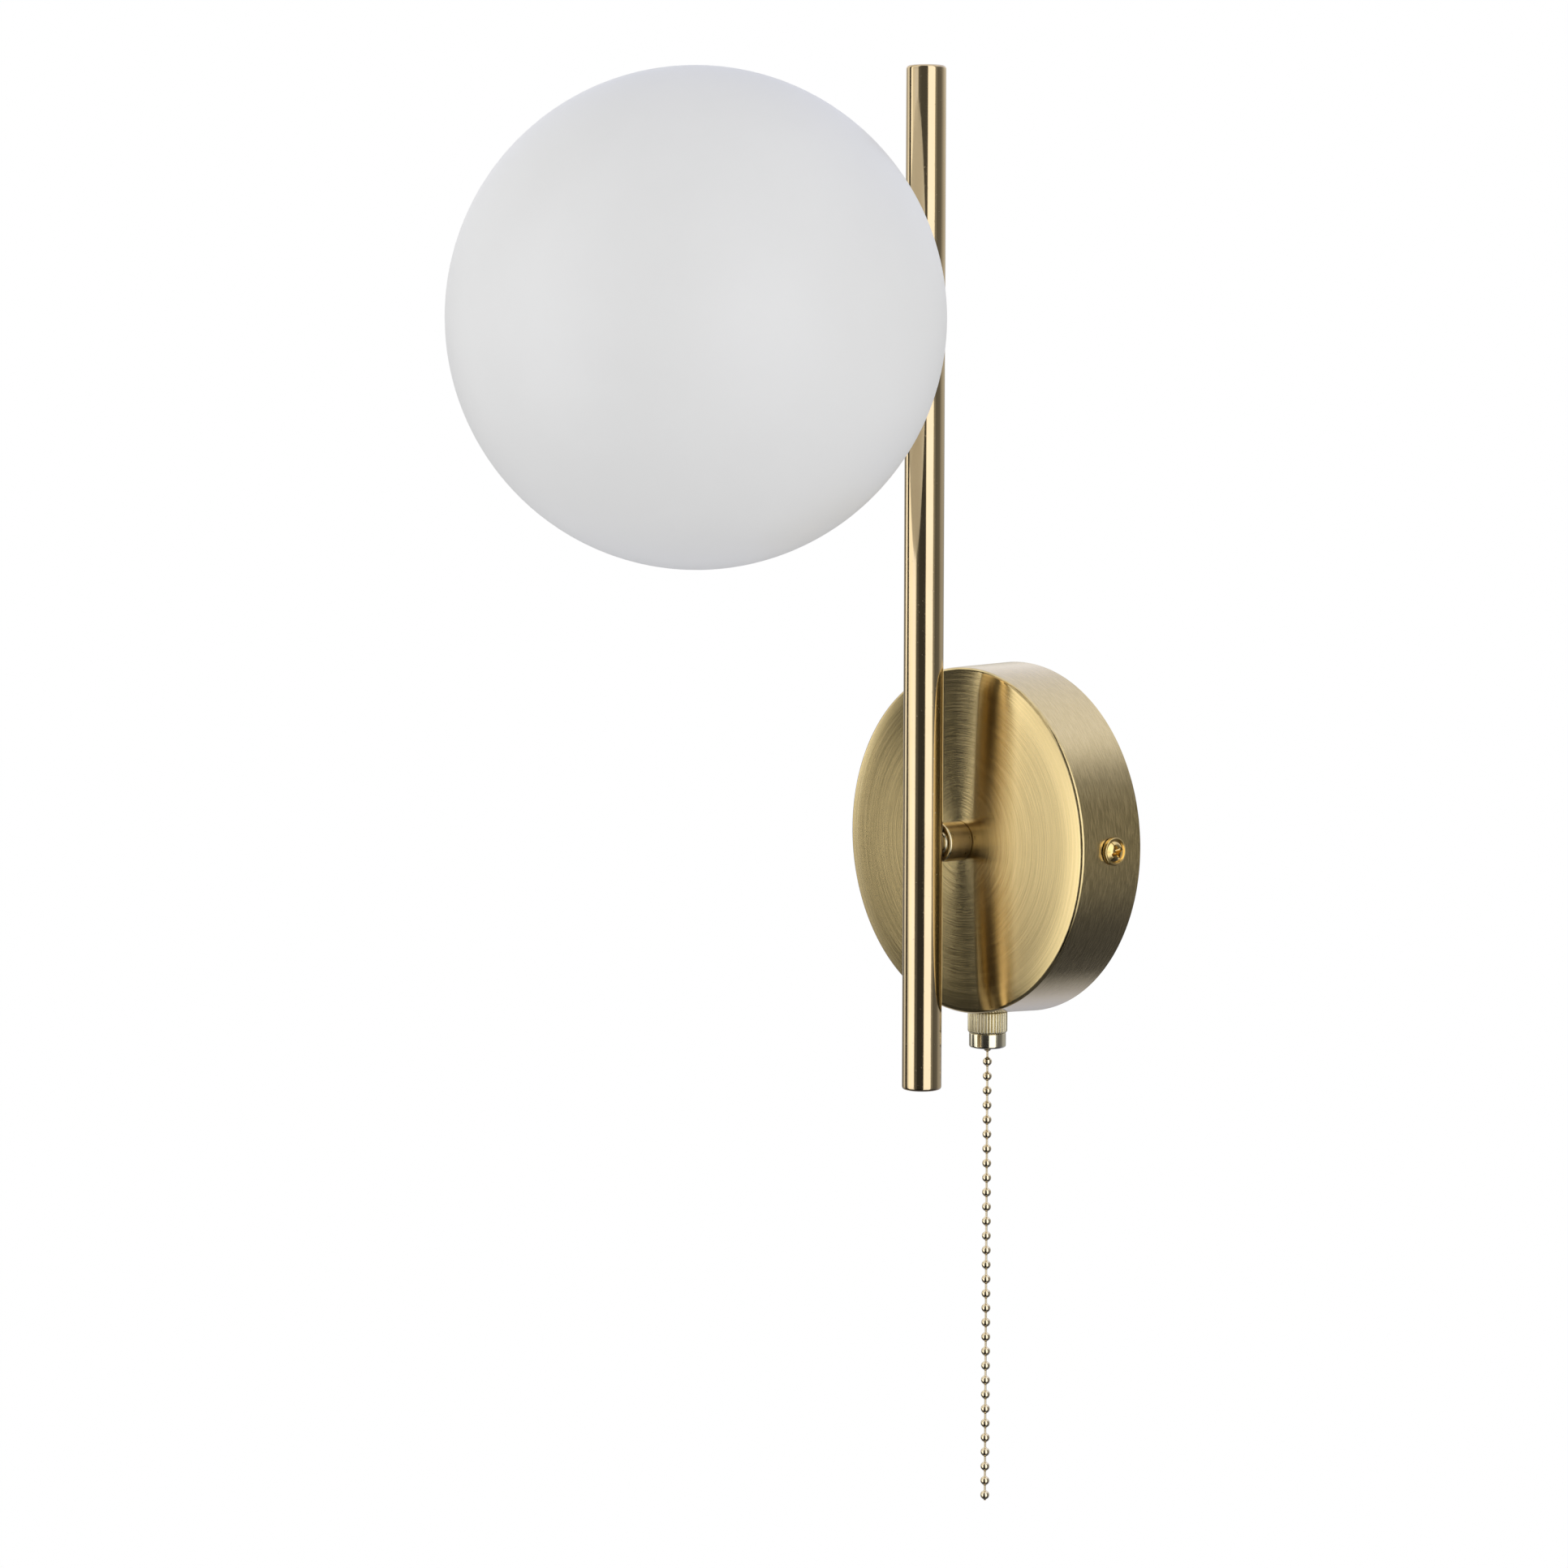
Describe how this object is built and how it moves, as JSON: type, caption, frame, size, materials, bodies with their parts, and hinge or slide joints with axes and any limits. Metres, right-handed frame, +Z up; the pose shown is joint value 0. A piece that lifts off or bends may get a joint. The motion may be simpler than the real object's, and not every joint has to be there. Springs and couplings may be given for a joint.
{
  "type": "globe wall sconce",
  "caption": "Wall lamp: round brass wall plate with an upright brass tube, an opal glass globe near the top of the tube and a ball pull chain under the plate.",
  "frame": {"origin": "centre of the wall plate's back, on the wall, midway between the two wall screws", "axes": "+Z up, +X to the right as one faces the lamp, +Y into the wall, so the lamp stands out along -Y"},
  "size_m": [0.15, 0.2069, 0.4571],
  "materials": {
    "plate_brass": "antique brass, face brushed in circles, rim brushed round",
    "tube_brass": "antique brass, polished satin along the tube",
    "spacer_brass": "antique brass, turned satin",
    "knurl_brass": "pale satin brass",
    "switch_brass": "pale polished brass",
    "screw_brass": "bright yellow brass plating",
    "opal_glass": "white opal glass, matt outside",
    "zinc_steel": "zinc-plated steel",
    "tinned_metal": "tinned or nickel-plated",
    "insert_brass": "drawn brass",
    "ceramic_white": "unglazed steatite",
    "gasket_soft": "translucent silicone",
    "bulb_plastic": "white moulded plastic",
    "bulb_frosted": "frosted cover",
    "board_white": "white solder mask",
    "terminal_plastic": "natural nylon",
    "switch_black": "moulded phenolic",
    "wire_brown": "insulation",
    "wire_black": "insulation",
    "wire_blue": "insulation",
    "wire_green": "green and yellow insulation",
    "chain_brass": "polished brass"
  },
  "bodies": {
    "base": {"wall_plate": "plate_brass", "wall_bracket": "zinc_steel", "side_screws": "screw_brass", "earth_screw": "zinc_steel", "earth_lug": "tinned_metal", "terminal_block": "terminal_plastic", "terminal_inserts": "insert_brass", "terminal_screws": "zinc_steel", "terminal_fixing_screw": "zinc_steel", "lead_live": "wire_brown", "lead_switched": "wire_black", "lead_neutral": "wire_blue", "lead_earth": "wire_green", "spacer": "spacer_brass", "tube": "tube_brass", "tube_plug_top": "tube_brass", "tube_plug_bottom": "tube_brass", "rear_nipple": "insert_brass", "rear_washer": "zinc_steel", "rear_nut": "zinc_steel", "arm_boss": "tube_brass", "front_nipple": "insert_brass", "globe_cup": "tube_brass", "cup_nut": "zinc_steel", "neck_gasket": "gasket_soft", "holder_strap": "zinc_steel", "holder_screws": "zinc_steel", "holder_clips": "tinned_metal", "lamp_holder": "ceramic_white", "switch_case": "switch_black", "switch_cover": "switch_black", "switch_bushing": "switch_brass", "switch_contacts": "tinned_metal", "knurled_nut": "knurl_brass", "switch_collar": "switch_brass"},
    "globe": {"glass_globe": "opal_glass"},
    "bulb": {"bulb_base": "bulb_plastic", "bulb_pins": "tinned_metal", "bulb_cover": "bulb_frosted", "bulb_board": "board_white"},
    "pull": {"pull_rod": "zinc_steel", "return_spring": "zinc_steel", "chain_beads_inside": "chain_brass", "chain_links_inside": "chain_brass"},
    "rotor": {"switch_rotor": "switch_black"},
    "swivel_1": {"chain_swivel_1": "chain_brass"},
    "run_1": {"chain_beads_1": "chain_brass", "chain_links_1": "chain_brass"},
    "swivel_2": {"chain_swivel_2": "chain_brass"},
    "run_2": {"chain_beads_2": "chain_brass", "chain_links_2": "chain_brass"},
    "swivel_3": {"chain_swivel_3": "chain_brass"},
    "run_3": {"chain_beads_3": "chain_brass", "chain_links_3": "chain_brass"},
    "swivel_4": {"chain_swivel_4": "chain_brass"},
    "run_4": {"chain_beads_4": "chain_brass", "chain_links_4": "chain_brass"}
  },
  "joints": [
    {"name": "globe_lift", "type": "slide", "parent": "base", "child": "globe", "axis": [0, -1, 0], "range_m": [0, 0.09]},
    {"name": "bulb_pull", "type": "slide", "parent": "base", "child": "bulb", "axis": [0, -1, 0], "range_m": [0, 0.016]},
    {"name": "chain_pull", "type": "slide", "parent": "base", "child": "pull", "axis": [0, 0, -1], "range_m": [0, 0.0075], "stiffness_N_per_m": 250, "springref_m": -0.008, "deforming": ["return_spring"]},
    {"name": "rotor_step", "type": "hinge", "parent": "base", "child": "rotor", "pos_m": [0, -0.013, -0.0341], "axis": [0, 0, 1], "continuous": true},
    {"name": "chain_sway_1", "type": "hinge", "parent": "pull", "child": "swivel_1", "pos_m": [0, -0.013, -0.06805], "axis": [1, 0, 0], "range_deg": [-20, 20]},
    {"name": "chain_bend_1", "type": "hinge", "parent": "swivel_1", "child": "run_1", "pos_m": [0, -0.013, -0.07055], "axis": [0, 1, 0], "range_deg": [-20, 20]},
    {"name": "chain_sway_2", "type": "hinge", "parent": "run_1", "child": "swivel_2", "pos_m": [0, -0.013, -0.10565], "axis": [1, 0, 0], "range_deg": [-20, 20]},
    {"name": "chain_bend_2", "type": "hinge", "parent": "swivel_2", "child": "run_2", "pos_m": [0, -0.013, -0.10815], "axis": [0, 1, 0], "range_deg": [-20, 20]},
    {"name": "chain_sway_3", "type": "hinge", "parent": "run_2", "child": "swivel_3", "pos_m": [0, -0.013, -0.14325], "axis": [1, 0, 0], "range_deg": [-20, 20]},
    {"name": "chain_bend_3", "type": "hinge", "parent": "swivel_3", "child": "run_3", "pos_m": [0, -0.013, -0.14575], "axis": [0, 1, 0], "range_deg": [-20, 20]},
    {"name": "chain_sway_4", "type": "hinge", "parent": "run_3", "child": "swivel_4", "pos_m": [0, -0.013, -0.18085], "axis": [1, 0, 0], "range_deg": [-20, 20]},
    {"name": "chain_bend_4", "type": "hinge", "parent": "swivel_4", "child": "run_4", "pos_m": [0, -0.013, -0.18335], "axis": [0, 1, 0], "range_deg": [-20, 20]}
  ]
}
